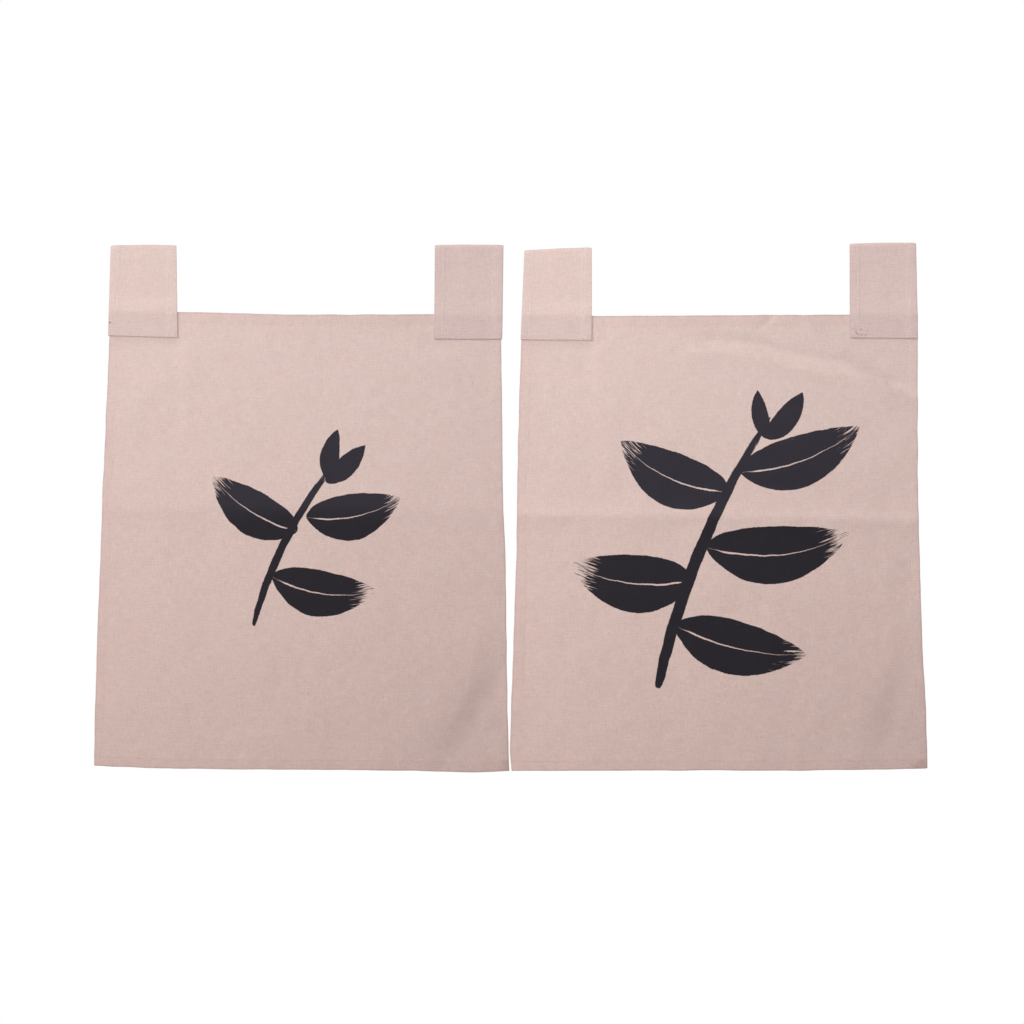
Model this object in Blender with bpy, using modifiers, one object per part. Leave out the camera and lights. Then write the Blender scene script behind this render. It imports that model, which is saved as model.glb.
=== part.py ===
"""A noren: a short split door curtain of two canvas panels, each hung by two sewn tabs.

Metres, +Z up. The curtain hangs in the XZ plane and its face looks towards -Y. The origin lies on the
line that it hangs from, level with the folds of its tabs and halfway along it. In the tables below, x is
measured from the origin and depth is measured down from that line, both in millimetres.
"""

from collections import namedtuple

import bmesh
import bpy
import numpy as np

MM = 0.001

# Cloth, in millimetres
PANEL_THICK = 1.2
TAB_THICK = 1.2
GAP = 0.3  # between a tab's legs and the panel between them
BOW = 8.0  # how far a panel's middle stands in front of its side edges
SET_FORWARD = 6.7  # how far its side edges stand in front of the hanging line, so that a rod clears them
PANEL_COLOUR = (0.69, 0.53, 0.49)
TAB_COLOUR = (0.72, 0.56, 0.52)

# Mesh
PANEL_COLUMNS = 20
TAB_COLUMNS = 3
STEPS_PER_SECTION = 2
Band = namedtuple("Band", "start rows")  # start is a share of the panel's height
ROW_BANDS = (Band(0.0, 12), Band(0.376, 8), Band(0.496, 15))  # closer together at the pressed crease

# A panel's outline: its side edges at some depths, and its top and bottom edges at some shares across
Sides = namedtuple("Sides", "depth left right")
Ends = namedtuple("Ends", "share top bottom")
# A soft ridge, or a trough if its heights are negative, along a line from one point to another. Heights
# are towards the face, reach is how fast it dies away to the sides, and tip is how rounded its line is.
Fold = namedtuple("Fold", "x0 depth0 height0 x1 depth1 height1 reach tip")
Panel = namedtuple("Panel", "name sides ends folds")

PANELS = (
    Panel(
        "panel_left",
        (
            Sides(69, -409.0, -9.0),
            Sides(102, -409.6, -9.4),
            Sides(163, -412.2, -8.4),
            Sides(255, -416.2, -7.4),
            Sides(316, -418.2, -5.2),
            Sides(408, -422.3, -4.0),
            Sides(484, -424.2, -2.8),
            Sides(515, -424.6, -2.0),
            Sides(537, -424.8, -1.5),
        ),
        (
            Ends(0.00, 67.3, 531.8),
            Ends(0.20, 68.4, 534.3),
            Ends(0.50, 70.6, 535.7),
            Ends(0.80, 70.4, 537.2),
            Ends(1.00, 69.6, 536.0),
        ),
        (
            Fold(-430, 266, 2.0, 5, 273, 0.8, 22, 3),  # the crease pressed in when it was folded up
            Fold(-24, 411, 1.5, -104, 497, 3.0, 20, 12),  # the slanting fold of the lower right corner
            Fold(-6, 454, -1.5, -62, 530, -1.5, 14, 8),
            Fold(-398, 168, 0.8, -322, 112, 0.8, 18, 10),  # the pull of the outer tab
            Fold(-133, 98, 0.8, -16, 136, 0.8, 18, 10),  # and of the inner one
            Fold(-4, 530, -2.5, -2, 537, -2.5, 8, 4),  # the curled corner
        ),
    ),
    Panel(
        "panel_right",
        (
            Sides(69, 12.0, 415.6),
            Sides(102, 10.8, 415.5),
            Sides(163, 8.4, 415.3),
            Sides(255, 6.4, 416.0),
            Sides(316, 5.8, 417.3),
            Sides(408, 2.9, 420.4),
            Sides(484, 0.3, 424.6),
            Sides(515, -0.2, 425.4),
            Sides(537, 1.1, 425.6),
        ),
        (
            Ends(0.00, 71.4, 535.2),
            Ends(0.20, 71.6, 536.4),
            Ends(0.50, 71.4, 535.8),
            Ends(0.80, 70.8, 535.2),
            Ends(1.00, 70.0, 533.8),
        ),
        (
            Fold(-5, 273, 2.6, 220, 276, 2.2, 20, 3),  # the pressed crease
            Fold(220, 276, 1.2, 430, 281, 1.2, 20, 3),
            Fold(183, 109, 0.6, 295, 119, 1.2, 7, 3),  # a slanting ridge below the outer tab
            Fold(295, 119, 1.2, 392, 143, 1.2, 7, 3),
            Fold(359, 106, -0.8, 387, 138, -0.8, 6, 3),
            Fold(375, 403, 1.5, 358, 530, 2.5, 14, 8),  # the upright fold of the lower right side
            Fold(402, 413, -1.2, 397, 530, -1.2, 12, 6),
            Fold(422, 529, -2.5, 425, 535, -2.5, 8, 4),  # the curled corner
        ),
    ),
)

# A tab's corners as seen from the front. Its top is its fold, and its bottom is where its ends are sewn.
Tab = namedtuple("Tab", "name panel top_left top_right bottom_left bottom_right")
Corner = namedtuple("Corner", "x depth")
TABS = (
    Tab(
        "tab_left_outer",
        0,
        Corner(-408.3, 0.0),
        Corner(-340.6, 0.3),
        Corner(-410.0, 94.0),
        Corner(-339.4, 95.6),
    ),
    Tab(
        "tab_left_inner",
        0,
        Corner(-77.0, 0.0),
        Corner(-7.2, -0.6),
        Corner(-76.2, 95.0),
        Corner(-8.4, 95.8),
    ),
    Tab(
        "tab_right_inner",
        1,
        Corner(14.4, 5.0),
        Corner(82.8, 2.7),
        Corner(11.2, 95.0),
        Corner(83.2, 96.0),
    ),
    Tab(
        "tab_right_outer",
        1,
        Corner(345.8, -0.8),
        Corner(414.2, -2.2),
        Corner(346.2, 95.0),
        Corner(415.4, 95.0),
    ),
)
# How a tab's loop opens above the panel: how far behind the panel's middle plane its front leg and its back
# leg lie, at shares of the tab's height from its sewn ends to its fold. The front leg stays nearly flat.
Section = namedtuple("Section", "height front back")
SEAT = (PANEL_THICK + TAB_THICK) / 2 + GAP
TAB_SECTIONS = (
    Section(0.000, -SEAT, SEAT),
    Section(0.150, -SEAT, SEAT),
    Section(0.300, -SEAT, SEAT),
    Section(0.360, -1.2, 5.0),
    Section(0.450, -0.7, 12.0),
    Section(0.580, 0.1, 17.4),
    Section(0.720, 1.0, 19.0),
    Section(0.850, 1.9, 16.4),
    Section(0.930, 2.4, 11.8),
    Section(0.975, 2.8, 7.6),
    Section(1.000, 4.8, 4.8),
)
FLAT_PAST_TABS = 6.0  # the cloth starts to fold this far from a tab
FOLDS_GROW_OVER = 30.0  # and has its folds' full height this much further on


def through(places, values, at):
    """A smooth curve through a table's values, read at one place. Flat at each peak, it never overshoots."""
    places = np.asarray(places, dtype=float)
    rises = np.diff(values) / np.diff(places)
    slopes = np.empty(len(places))
    slopes[0], slopes[-1] = rises[0], rises[-1]
    for knot, (before, after) in enumerate(zip(rises[:-1], rises[1:], strict=True), start=1):
        slopes[knot] = 2 * before * after / (before + after) if before * after > 0 else 0.0
    at = float(np.clip(at, places[0], places[-1]))
    after = int(np.clip(np.searchsorted(places, at), 1, len(places) - 1))
    before = after - 1
    span = places[after] - places[before]
    t = (at - places[before]) / span
    return (
        (2 * t**3 - 3 * t**2 + 1) * values[before]
        + (t**3 - 2 * t**2 + t) * span * slopes[before]
        + (3 * t**2 - 2 * t**3) * values[after]
        + (t**3 - t**2) * span * slopes[after]
    )


def column(table, name):
    return [getattr(row, name) for row in table]


def between(start, end, share):
    return start + share * (end - start)


def eased(share):
    share = min(max(share, 0.0), 1.0)
    return share * share * (3 - 2 * share)


def bow(panel, x):
    """How far behind the hanging line the panel's middle plane lies at this x."""
    top = panel.sides[0]
    across = (x - top.left) / (top.right - top.left)
    return -SET_FORWARD - BOW * (1 - (2 * across - 1) ** 2)


def fold_height(fold, x, depth):
    """How far one fold moves the cloth towards its face at a point."""
    run = np.array([fold.x1 - fold.x0, fold.depth1 - fold.depth0])
    here = np.array([x - fold.x0, depth - fold.depth0])
    along = float(np.clip(here @ run / (run @ run), 0, 1))
    away = np.hypot(*(here - along * run))
    height = between(fold.height0, fold.height1, along)
    return height * np.exp((fold.tip - np.hypot(away, fold.tip)) / fold.reach)


def freedom(panel, x, depth):
    """0 where the cloth lies flat between a tab's legs, and 1 where it is free to fold."""
    shares = []
    for tab in TABS:
        if PANELS[tab.panel] is not panel:
            continue
        left = min(tab.top_left.x, tab.bottom_left.x)
        right = max(tab.top_right.x, tab.bottom_right.x)
        bottom = max(tab.bottom_left.depth, tab.bottom_right.depth)
        away = max(left - x, x - right, depth - bottom)
        shares.append(eased((away - FLAT_PAST_TABS) / FOLDS_GROW_OVER))
    return min(shares)


def panel_place(panel):
    """The function from shares across and down a panel to a point of its middle surface."""

    def place(across, down):
        top = through(column(panel.ends, "share"), column(panel.ends, "top"), across)
        bottom = through(column(panel.ends, "share"), column(panel.ends, "bottom"), across)
        depth = between(top, bottom, down)
        left = through(column(panel.sides, "depth"), column(panel.sides, "left"), depth)
        right = through(column(panel.sides, "depth"), column(panel.sides, "right"), depth)
        x = between(left, right, across)
        forward = sum(fold_height(fold, x, depth) for fold in panel.folds)
        return x, bow(panel, x) - freedom(panel, x, depth) * forward, -depth

    return place


def panel_rows():
    """The shares of its height at which a panel's rows lie."""
    shares = [0.0]
    ends = [band.start for band in ROW_BANDS[1:]] + [1.0]
    for band, end in zip(ROW_BANDS, ends, strict=True):
        shares += list(np.linspace(band.start, end, band.rows + 1)[1:])
    return shares


def tab_loop():
    """(height share, set back) of points along a tab's strip, up its front and down its back."""
    front = [(section.height, section.front) for section in TAB_SECTIONS]
    back = [(section.height, section.back) for section in reversed(TAB_SECTIONS[:-1])]
    heights, set_backs = zip(*front, *back, strict=True)
    knots = range(len(heights))
    fine = np.linspace(0, knots[-1], knots[-1] * STEPS_PER_SECTION + 1)
    return [(through(knots, heights, at), through(knots, set_backs, at)) for at in fine]


def tab_place(tab):
    """The function from shares across and along a tab's strip to a point of its middle surface."""
    loop = tab_loop()

    def place(across, along):
        height, set_back = loop[round(along * (len(loop) - 1))]
        left = between(tab.bottom_left.x, tab.top_left.x, height)
        right = between(tab.bottom_right.x, tab.top_right.x, height)
        top = between(tab.top_left.depth, tab.top_right.depth, across) + TAB_THICK / 2
        bottom = between(tab.bottom_left.depth, tab.bottom_right.depth, across)
        x = between(left, right, across)
        return x, bow(PANELS[tab.panel], x) + set_back, -between(bottom, top, height)

    return place


def canvas(name, colour):
    material = bpy.data.materials.new(name)
    material.use_nodes = True
    surface = material.node_tree.nodes["Principled BSDF"]
    surface.inputs["Base Color"].default_value = (*colour, 1)
    surface.inputs["Roughness"].default_value = 0.9
    surface.inputs["Metallic"].default_value = 0.0
    material.diffuse_color = (*colour, 1)
    return material


def cloth(name, place, columns, rows, thick, colour, collection):
    """A sheet of cloth: a flat grid laid on the surface that place gives, then thickened to both sides.

    rows are the shares along the sheet at which the grid's rows lie.
    """
    steps = len(rows) - 1
    grid = bmesh.new()
    bmesh.ops.create_grid(grid, x_segments=columns, y_segments=steps, size=0.5)
    for vertex in grid.verts:
        row = round((0.5 - vertex.co.y) * steps)
        vertex.co = [MM * part for part in place(vertex.co.x + 0.5, rows[row])]
    mesh = bpy.data.meshes.new(name)
    grid.to_mesh(mesh)
    grid.free()
    mesh.shade_smooth()
    mesh.materials.append(canvas(name, colour))
    piece = bpy.data.objects.new(name, mesh)
    collection.objects.link(piece)
    wall = piece.modifiers.new("thickness", "SOLIDIFY")
    wall.thickness = MM * thick
    wall.offset = 0.0
    wall.use_even_offset = True


def main():
    for thing in list(bpy.data.objects):
        bpy.data.objects.remove(thing, do_unlink=True)
    noren = bpy.data.collections.new("noren_curtain")
    bpy.context.scene.collection.children.link(noren)
    for panel in PANELS:
        cloth(panel.name, panel_place(panel), PANEL_COLUMNS, panel_rows(), PANEL_THICK, PANEL_COLOUR, noren)
    strip_rows = np.linspace(0, 1, len(tab_loop()))
    for tab in TABS:
        cloth(tab.name, tab_place(tab), TAB_COLUMNS, strip_rows, TAB_THICK, TAB_COLOUR, noren)


main()
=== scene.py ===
# %% [markdown]
# # A noren, the short split curtain of a doorway
#
# The real thing is two hemmed cloths of pink-beige cotton canvas. Each hangs by two wide tabs that are sewn
# over its top corners, and each carries a bold print in near-black ink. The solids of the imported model
# give the places and the outline. This lesson puts cloth in their place: hems that are folded, seams with
# thread in them, tabs that are turned and stitched, a canvas weave and a brushed print.

# %% The frame and the tools
import math
import random
from collections import namedtuple

import bmesh
import bpy
import numpy as np
from mathutils import Matrix, Vector, noise


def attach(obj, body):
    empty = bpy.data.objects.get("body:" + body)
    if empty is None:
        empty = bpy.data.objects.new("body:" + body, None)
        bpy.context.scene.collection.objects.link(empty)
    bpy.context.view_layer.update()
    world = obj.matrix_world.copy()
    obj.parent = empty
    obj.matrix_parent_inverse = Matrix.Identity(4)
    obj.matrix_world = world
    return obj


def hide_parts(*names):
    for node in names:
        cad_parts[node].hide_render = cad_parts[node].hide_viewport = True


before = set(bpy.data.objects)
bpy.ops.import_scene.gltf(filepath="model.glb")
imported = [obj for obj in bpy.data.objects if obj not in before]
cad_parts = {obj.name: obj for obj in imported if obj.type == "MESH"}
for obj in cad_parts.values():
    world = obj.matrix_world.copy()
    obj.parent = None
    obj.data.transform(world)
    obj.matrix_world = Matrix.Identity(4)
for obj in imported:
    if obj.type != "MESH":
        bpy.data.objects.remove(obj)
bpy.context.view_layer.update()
MM = 0.001


def placed(name, data):
    """A new object in the scene."""
    made = bpy.data.objects.new(name, data)
    bpy.context.scene.collection.objects.link(made)
    return made


print("nodes of the frame:", ", ".join(sorted(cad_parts)))

# %% [markdown]
# ## The camera
#
# The curtain is seen square on through a long lens, so that its edges stay parallel. The lens follows from
# how much of the curtain's plane the picture takes in and how far away the camera stands.

# %% Camera
PICTURE_WIDTH = 1.0445  # metres of the curtain's plane, from the left of the picture to the right
CAMERA_DISTANCE = 4.0
SENSOR_WIDTH = 36.0
AIM = Vector((0.0015, -0.0105, -0.2723))

lens = bpy.data.cameras.new("camera")
lens.sensor_width = SENSOR_WIDTH
lens.lens = SENSOR_WIDTH * CAMERA_DISTANCE / PICTURE_WIDTH
camera = placed("camera", lens)
camera.location = AIM - Vector((0, CAMERA_DISTANCE, 0))
camera.rotation_euler = (math.radians(90), 0, 0)
bpy.context.scene.camera = camera
print("lens in mm:", round(lens.lens, 1))

# %% [markdown]
# ## The light
#
# A soft sun from the upper left shows the weave and makes each half darker from left to right. A long strip
# light in front, just above the picture, gives the slow fall from the tabs down to the hem. A second sun
# behind, on the right, lights the back. What is seen past the curtain is white, and lights it only a little.

# %% Suns, strip light and surroundings
TOWARDS_SUN = Vector((-0.809, -0.269, 0.523))
SUN_STRENGTH = 2.63
LAMP_TINT = (1.0, 0.965, 0.95)
SUN_SOFTNESS = math.radians(14)
TOWARDS_BACK_SUN = Vector((0.68, 0.58, 0.45))
BACK_SUN_STRENGTH = 2.0
BACK_SUN_SOFTNESS = math.radians(40)
STRIP_PLACE = Vector((-0.563, -0.65, 0.15))
STRIP_WIDE, STRIP_HIGH = 4.2, 0.35
STRIP_TURN = math.radians(51.6)
STRIP_POWER = 13.6
SURROUNDINGS = 0.06  # how much the white surroundings light the cloth
WHITE = (1.0, 1.0, 1.0, 1.0)

bpy.context.scene.view_settings.view_transform = "Standard"


def lamp(name, kind, strength, tint, **settings):
    """A lamp in the scene, with the settings of its kind."""
    light = bpy.data.lights.new(name, kind)
    light.energy = strength
    light.color = tint
    for setting, value in settings.items():
        setattr(light, setting, value)
    return placed(name, light)


sun = lamp("sun", "SUN", SUN_STRENGTH, LAMP_TINT, angle=SUN_SOFTNESS)
sun.rotation_euler = TOWARDS_SUN.to_track_quat("Z", "Y").to_euler()
back_sun = lamp("sun_behind", "SUN", BACK_SUN_STRENGTH, WHITE[:3], angle=BACK_SUN_SOFTNESS)
back_sun.rotation_euler = TOWARDS_BACK_SUN.to_track_quat("Z", "Y").to_euler()
strip = lamp("strip", "AREA", STRIP_POWER, LAMP_TINT, shape="RECTANGLE", size=STRIP_WIDE, size_y=STRIP_HIGH)
strip.location = STRIP_PLACE
strip.rotation_euler = (STRIP_TURN, 0, 0)
strip.visible_camera = False

world = bpy.data.worlds.new("surroundings")
bpy.context.scene.world = world
world.use_nodes = True
backdrop = world.node_tree.nodes["Background"]
rays = world.node_tree.nodes.new("ShaderNodeLightPath")
strength = world.node_tree.nodes.new("ShaderNodeMapRange")
strength.inputs["To Min"].default_value = SURROUNDINGS
world.node_tree.links.new(rays.outputs["Is Camera Ray"], strength.inputs["Value"])
world.node_tree.links.new(strength.outputs["Result"], backdrop.inputs["Strength"])
backdrop.inputs["Color"].default_value = WHITE
print("lamps:", [light.name for light in bpy.data.lights])

# %% A plain pale floor, far below as under a real doorway
FLOOR_DEPTH = -1.9
FLOOR_SIDE = 4.0
FLOOR_GREY = (0.9, 0.9, 0.9, 1.0)
FLOOR_ROUGH = 0.9
FLOOR_GLOW = 0.35


def piece_from(shape, name):
    """Ends a bmesh: its mesh becomes a smooth piece in the scene."""
    mesh = bpy.data.meshes.new(name)
    shape.to_mesh(mesh)
    shape.free()
    mesh.shade_smooth()
    return placed(name, mesh)


def finish_of(name, values):
    """A new material and its surface, with values for that surface's sockets."""
    finish = bpy.data.materials.new(name)
    finish.use_nodes = True
    surface = finish.node_tree.nodes["Principled BSDF"]
    for socket, value in values.items():
        surface.inputs[socket].default_value = value
    return finish, surface


floor_shape = bmesh.new()
floor_place = Matrix.Translation((0, 0, FLOOR_DEPTH))
bmesh.ops.create_grid(floor_shape, x_segments=1, y_segments=1, size=FLOOR_SIDE / 2, matrix=floor_place)
floor = piece_from(floor_shape, "floor")
glow = {"Emission Color": WHITE, "Emission Strength": FLOOR_GLOW}
paper = finish_of("white_paper", {"Base Color": FLOOR_GREY, "Roughness": FLOOR_ROUGH, **glow})[0]
floor.data.materials.append(paper)
print("the floor lies", -FLOOR_DEPTH, "m below the hanging line")

# %% [markdown]
# ## The shape of a hanging panel
#
# The tables are in millimetres: x from the middle of the curtain, and depth down from the line that it
# hangs from. A panel's outline is a few places along its four edges, joined by a smooth curve that never
# overshoots. Its surface bows forward a little from side to side. A crease is a line that the cloth is
# lifted along, which dies away to both sides. Where a corner has turned back, the line is a step instead:
# the cloth beyond it lies further back. Below the thick end of a tab it droops back a little too.

# %% Tables of the outline, the hems and the creases
BOW = 8.0
SET_FORWARD = 6.7
Hem = namedtuple("Hem", "width stitch groove deeper")  # deeper is for its painted shade, as less light shines through three plies, and less than 0 is paler
Sides = namedtuple("Sides", "depth left right")
Ends = namedtuple("Ends", "share top bottom")
Crease = namedtuple("Crease", "points reach_left reach_right tip")  # on the hands of one who walks along it
Step = namedtuple("Step", "points before beyond")  # the left hand's side lies back, by each point's amount
Panel = namedtuple("Panel", "name seed left_hem right_hem sides ends soft sharp steps")

TOP_HEM = Hem(11.6, 10.4, 0.07, 1.0)
BOTTOM_HEM = Hem(10.6, 8.8, 0.10, 1.1)
TAB_SIDE_HEM = Hem(9.6, 7.9, 0.12, -0.2)
TAB_END_HEM = Hem(8.4, 7.2, 0.10, 0.0)

PANEL_LEFT = Panel(
    name="panel_left",
    seed=1,
    left_hem=Hem(10.4, 8.6, 0.06, 0.5),
    right_hem=Hem(10.4, 8.6, 0.04, 0.1),
    sides=(
        Sides(69, -409.3, -9.0), Sides(102, -410.0, -9.5), Sides(163, -412.8, -8.6),
        Sides(255, -416.6, -7.8), Sides(316, -419.0, -5.2), Sides(408, -422.4, -4.1),
        Sides(484, -424.7, -2.8), Sides(515, -425.4, -2.0), Sides(537, -425.3, -1.5),
    ),
    ends=(
        Ends(0.00, 67.3, 531.8), Ends(0.20, 68.4, 534.3), Ends(0.50, 71.2, 535.0), Ends(0.74, 70.9, 536.2),
        Ends(0.84, 70.4, 537.3), Ends(0.91, 70.1, 538.4), Ends(1.00, 69.6, 537.2),
    ),
    soft=(  # the top hem lies a little forward, and the bottom one back
        Crease(((-440, 70, 1.0), (20, 70, 1.0)), 26, 26, 6),
        Crease(((-440, 540, -2.9), (20, 540, -2.3)), 60, 60, 12),
    ),
    sharp=(  # the pressed crease, the pull of each tab, a low fold beside the hem and the curled corner
        Crease(((-440, 268, 1.6), (-300, 269, 1.6), (-120, 270, 1.5), (20, 272, 1.2)), 30, 16, 4),
        Crease(((-398, 168, 0.0), (-360, 138, 0.8), (-322, 112, 0.0)), 14, 14, 8),
        Crease(((-133, 98, 0.0), (-80, 118, 0.8), (-16, 136, 0.0)), 14, 14, 8),
        Crease(((-33, 360, 0.0), (-34, 395, 0.4), (-38, 425, 0.4), (-50, 455, 0.0)), 30, 10, 3),
        Crease(((-6, 526, 0.0), (0, 541, -2.5)), 8, 8, 4),
    ),
    steps=(  # the broad turn of the lower corner, and a narrower one on it
        Step((
            (4, 385, 0.0), (-22, 429, 1.0), (-37, 457, 2.1), (-53, 480, 2.3), (-68, 502, 1.9),
            (-98, 522, 1.1), (-118, 545, 0.8),
        ), 26, 24),
        Step((
            (4, 400, 0.0), (-16, 432, 0.6), (-34, 459, 1.5), (-46, 481, 1.5), (-59, 502, 1.0),
            (-84, 524, 0.4), (-100, 545, 0.2),
        ), 14, 11),
    ),
)
PANEL_RIGHT = Panel(
    name="panel_right",
    seed=2,
    left_hem=Hem(12.7, 10.9, 0.06, 0.6),
    right_hem=Hem(10.4, 8.6, 0.08, 0.1),
    sides=(
        Sides(69, 12.0, 415.8), Sides(102, 10.6, 415.8), Sides(163, 8.6, 415.7),
        Sides(255, 6.5, 416.0), Sides(316, 5.9, 417.7), Sides(408, 2.8, 420.6),
        Sides(484, 0.3, 424.9), Sides(515, -0.4, 425.8), Sides(537, 0.8, 426.2),
    ),
    ends=(
        Ends(0.00, 71.9, 536.8), Ends(0.20, 72.4, 536.3), Ends(0.50, 71.9, 535.8), Ends(0.68, 71.4, 536.1),
        Ends(0.80, 71.1, 535.6), Ends(1.00, 70.2, 534.4),
    ),
    soft=(
        Crease(((-20, 71, 1.0), (440, 71, 1.0)), 26, 26, 6),
        Crease(((-20, 540, -2.2), (440, 540, -2.2)), 60, 60, 12),
    ),
    sharp=(
        Crease(((-20, 275, 2.2), (110, 276, 2.1), (220, 277, 1.8), (440, 282, 2.4)), 9, 14, 2.5),
        Crease((  # the slanting ridge below the outer tab, and the furrow above it
            (170, 109, 0.0), (196, 109, 1.3), (231, 111, 1.7), (251, 116, 1.9), (282, 124, 1.9),
            (318, 130, 1.9), (348, 134, 2.0), (369, 140, 2.7), (389, 149, 2.6), (405, 155, 1.6),
            (424, 161, 0.4),
        ), 5, 14, 2),
        Crease((
            (186, 96, 0.0), (202, 97, -0.9), (231, 98, -1.3), (251, 101, -2.0), (282, 109, -1.8),
            (318, 116, -1.4), (348, 121, -1.6), (369, 130, -3.2), (389, 139, -3.3), (405, 145, -1.6),
            (424, 151, 0.0),
        ), 6, 4, 1.5),
        Crease(((270, 67, 0.0), (265, 75, -1.1), (259, 81, -0.7), (249, 90, 0.0)), 3, 3, 1),  # a small nick
        Crease(((388, 135, 0.0), (391, 137, -1.2), (394, 138, 0.0)), 3, 3, 1),  # a dent in the furrow
        Crease(((386, 300, 0.0), (385, 330, 0.2), (387, 400, 0.2), (384, 440, 0.0)), 16, 7, 2),
        Crease(((424, 270, 0.0), (424, 330, 0.9), (424, 420, 0.9), (424, 510, 0.0)), 16, 16, 4),
        Crease(((419, 526, 0.0), (426, 539, -2.5)), 8, 8, 4),  # the curled corner
    ),
    steps=(
        Step((
            (410, 385, 0.0), (398, 430, 0.4), (389, 456, 1.2), (381, 482, 1.5), (368, 511, 0.6),
            (360, 545, 0.2),
        ), 28, 18),
        Step((
            (408, 395, 0.0), (396, 430, 0.3), (388, 456, 0.8), (381, 482, 0.9), (370, 511, 0.3),
            (364, 545, 0.0),
        ), 14, 11),
    ),
)

PANELS = (PANEL_LEFT, PANEL_RIGHT)

# A tab's twist is its turn to one side, its droop how far the panel below it lies back, and its
# dust how dark the painted shadow along it is. The droop also sets the painted shade below it.
Tab = namedtuple("Tab", "name seed twist droop dust panel top_left top_right bottom_left bottom_right")
Corner = namedtuple("Corner", "x depth")
TABS = (
    Tab(
        "tab_left_outer", 3, -0.042, 1.4, 0.0, PANEL_LEFT,
        Corner(-408.5, -1.0), Corner(-340.6, -0.8), Corner(-411.0, 92.3), Corner(-339.4, 94.4),
    ),
    Tab(
        "tab_left_inner", 4, 0.04, 0.3, 0.32, PANEL_LEFT,
        Corner(-77.2, -0.8), Corner(-7.2, -1.3), Corner(-78.0, 96.0), Corner(-8.4, 96.0),
    ),
    Tab(
        "tab_right_inner", 5, -0.045, 1.4, 0.07, PANEL_RIGHT,
        Corner(14.0, 4.2), Corner(82.8, 1.7), Corner(10.1, 96.4), Corner(83.0, 97.2),
    ),
    Tab(
        "tab_right_outer", 6, 0.04, 0.6, 0.19, PANEL_RIGHT,
        Corner(345.6, -2.2), Corner(414.2, -3.6), Corner(345.9, 94.8), Corner(416.0, 95.2),
    ),
)


def tabs_of(panel):
    return [tab for tab in TABS if tab.panel is panel]


print("tabs:", {panel.name: len(tabs_of(panel)) for panel in PANELS})


# %% Smooth curves through a table
def through(places, values, at):
    """A smooth curve through a table's values, read at many places. Flat at peaks, it never overshoots."""
    places = np.asarray(places, float)
    values = np.asarray(values, float)
    rises = np.diff(values) / np.diff(places)
    slopes = np.concatenate([rises[:1], np.zeros(len(places) - 2), rises[-1:]])
    before, after = rises[:-1], rises[1:]
    turning = before * after <= 0
    total = np.where(turning, 1.0, before + after)
    slopes[1:-1] = np.where(turning, 0.0, 2 * before * after / total)
    at = np.clip(at, places[0], places[-1])
    end = np.clip(np.searchsorted(places, at), 1, len(places) - 1)
    start = end - 1
    span = places[end] - places[start]
    t = (at - places[start]) / span
    return (
        (2 * t**3 - 3 * t**2 + 1) * values[start]
        + (t**3 - 2 * t**2 + t) * span * slopes[start]
        + (3 * t**2 - 2 * t**3) * values[end]
        + (t**3 - t**2) * span * slopes[end]
    )


def read(table, by, value, at):
    """A column of a table as a smooth curve over another column, read at many places."""
    return through([getattr(row, by) for row in table], [getattr(row, value) for row in table], at)


def between(start, end, share):
    return start + share * (end - start)


def eased(share):
    """From 0 to 1 with a soft start and end."""
    share = np.clip(share, 0.0, 1.0)
    return share * share * (3 - 2 * share)


def bow(panel, x):
    """How far behind the hanging line the panel's middle plane lies at these x."""
    top = panel.sides[0]
    across = (x - top.left) / (top.right - top.left)
    return -SET_FORWARD - BOW * (1 - (2 * across - 1) ** 2)


# %% Creases and steps
CREASE_PITCH = 8.0  # the length of the straight pieces that a curved crease is made of


def nearest_on(points, x, depth):
    """For places on the cloth: how far a crease is away, more than 0 on its right hand, and its height."""
    table = np.array(points, float)
    run = np.concatenate([[0.0], np.cumsum(np.hypot(*np.diff(table[:, :2], axis=0).T))])
    fine = np.linspace(0, run[-1], max(2, round(run[-1] / CREASE_PITCH)))
    line_x, line_depth, line_height = [through(run, table[:, k], fine) for k in range(3)]
    nearest = np.full_like(x, np.inf)
    side = np.ones_like(x)
    height = np.zeros_like(x)
    for k in range(len(fine) - 1):
        run_x, run_depth = line_x[k + 1] - line_x[k], line_depth[k + 1] - line_depth[k]
        from_x, from_depth = x - line_x[k], depth - line_depth[k]
        along = np.clip((from_x * run_x + from_depth * run_depth) / (run_x**2 + run_depth**2), 0, 1)
        away = np.hypot(from_x - along * run_x, from_depth - along * run_depth)
        closer = away < nearest
        nearest = np.where(closer, away, nearest)
        side = np.where(closer, np.sign(run_x * from_depth - run_depth * from_x), side)
        height = np.where(closer, between(line_height[k], line_height[k + 1], along), height)
    return nearest * side, height


def crease_height(crease, x, depth):
    """How far one crease lifts the cloth towards its face."""
    away, height = nearest_on(crease.points, x, depth)
    reach = np.where(away < 0, crease.reach_left, crease.reach_right)
    return height * np.exp((crease.tip - np.hypot(away, crease.tip)) / reach)


def step_height(step, x, depth):
    """How far the cloth lies back beyond a step."""
    away, height = nearest_on(step.points, x, depth)
    return -height * eased((step.before - away) / (step.before + step.beyond))


FLAT_PAST_TABS = 6.0


def freedom(panel, x, depth, grows_over):
    """0 where the cloth lies flat between a tab's legs, and 1 where it is free to fold."""
    least = np.ones_like(x)
    for tab in tabs_of(panel):
        left = min(tab.top_left.x, tab.bottom_left.x)
        right = max(tab.top_right.x, tab.bottom_right.x)
        bottom = max(tab.bottom_left.depth, tab.bottom_right.depth)
        away = np.maximum.reduce([left - x, x - right, depth - bottom])
        least = np.minimum(least, eased((away - FLAT_PAST_TABS) / grows_over))
    return least


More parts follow.
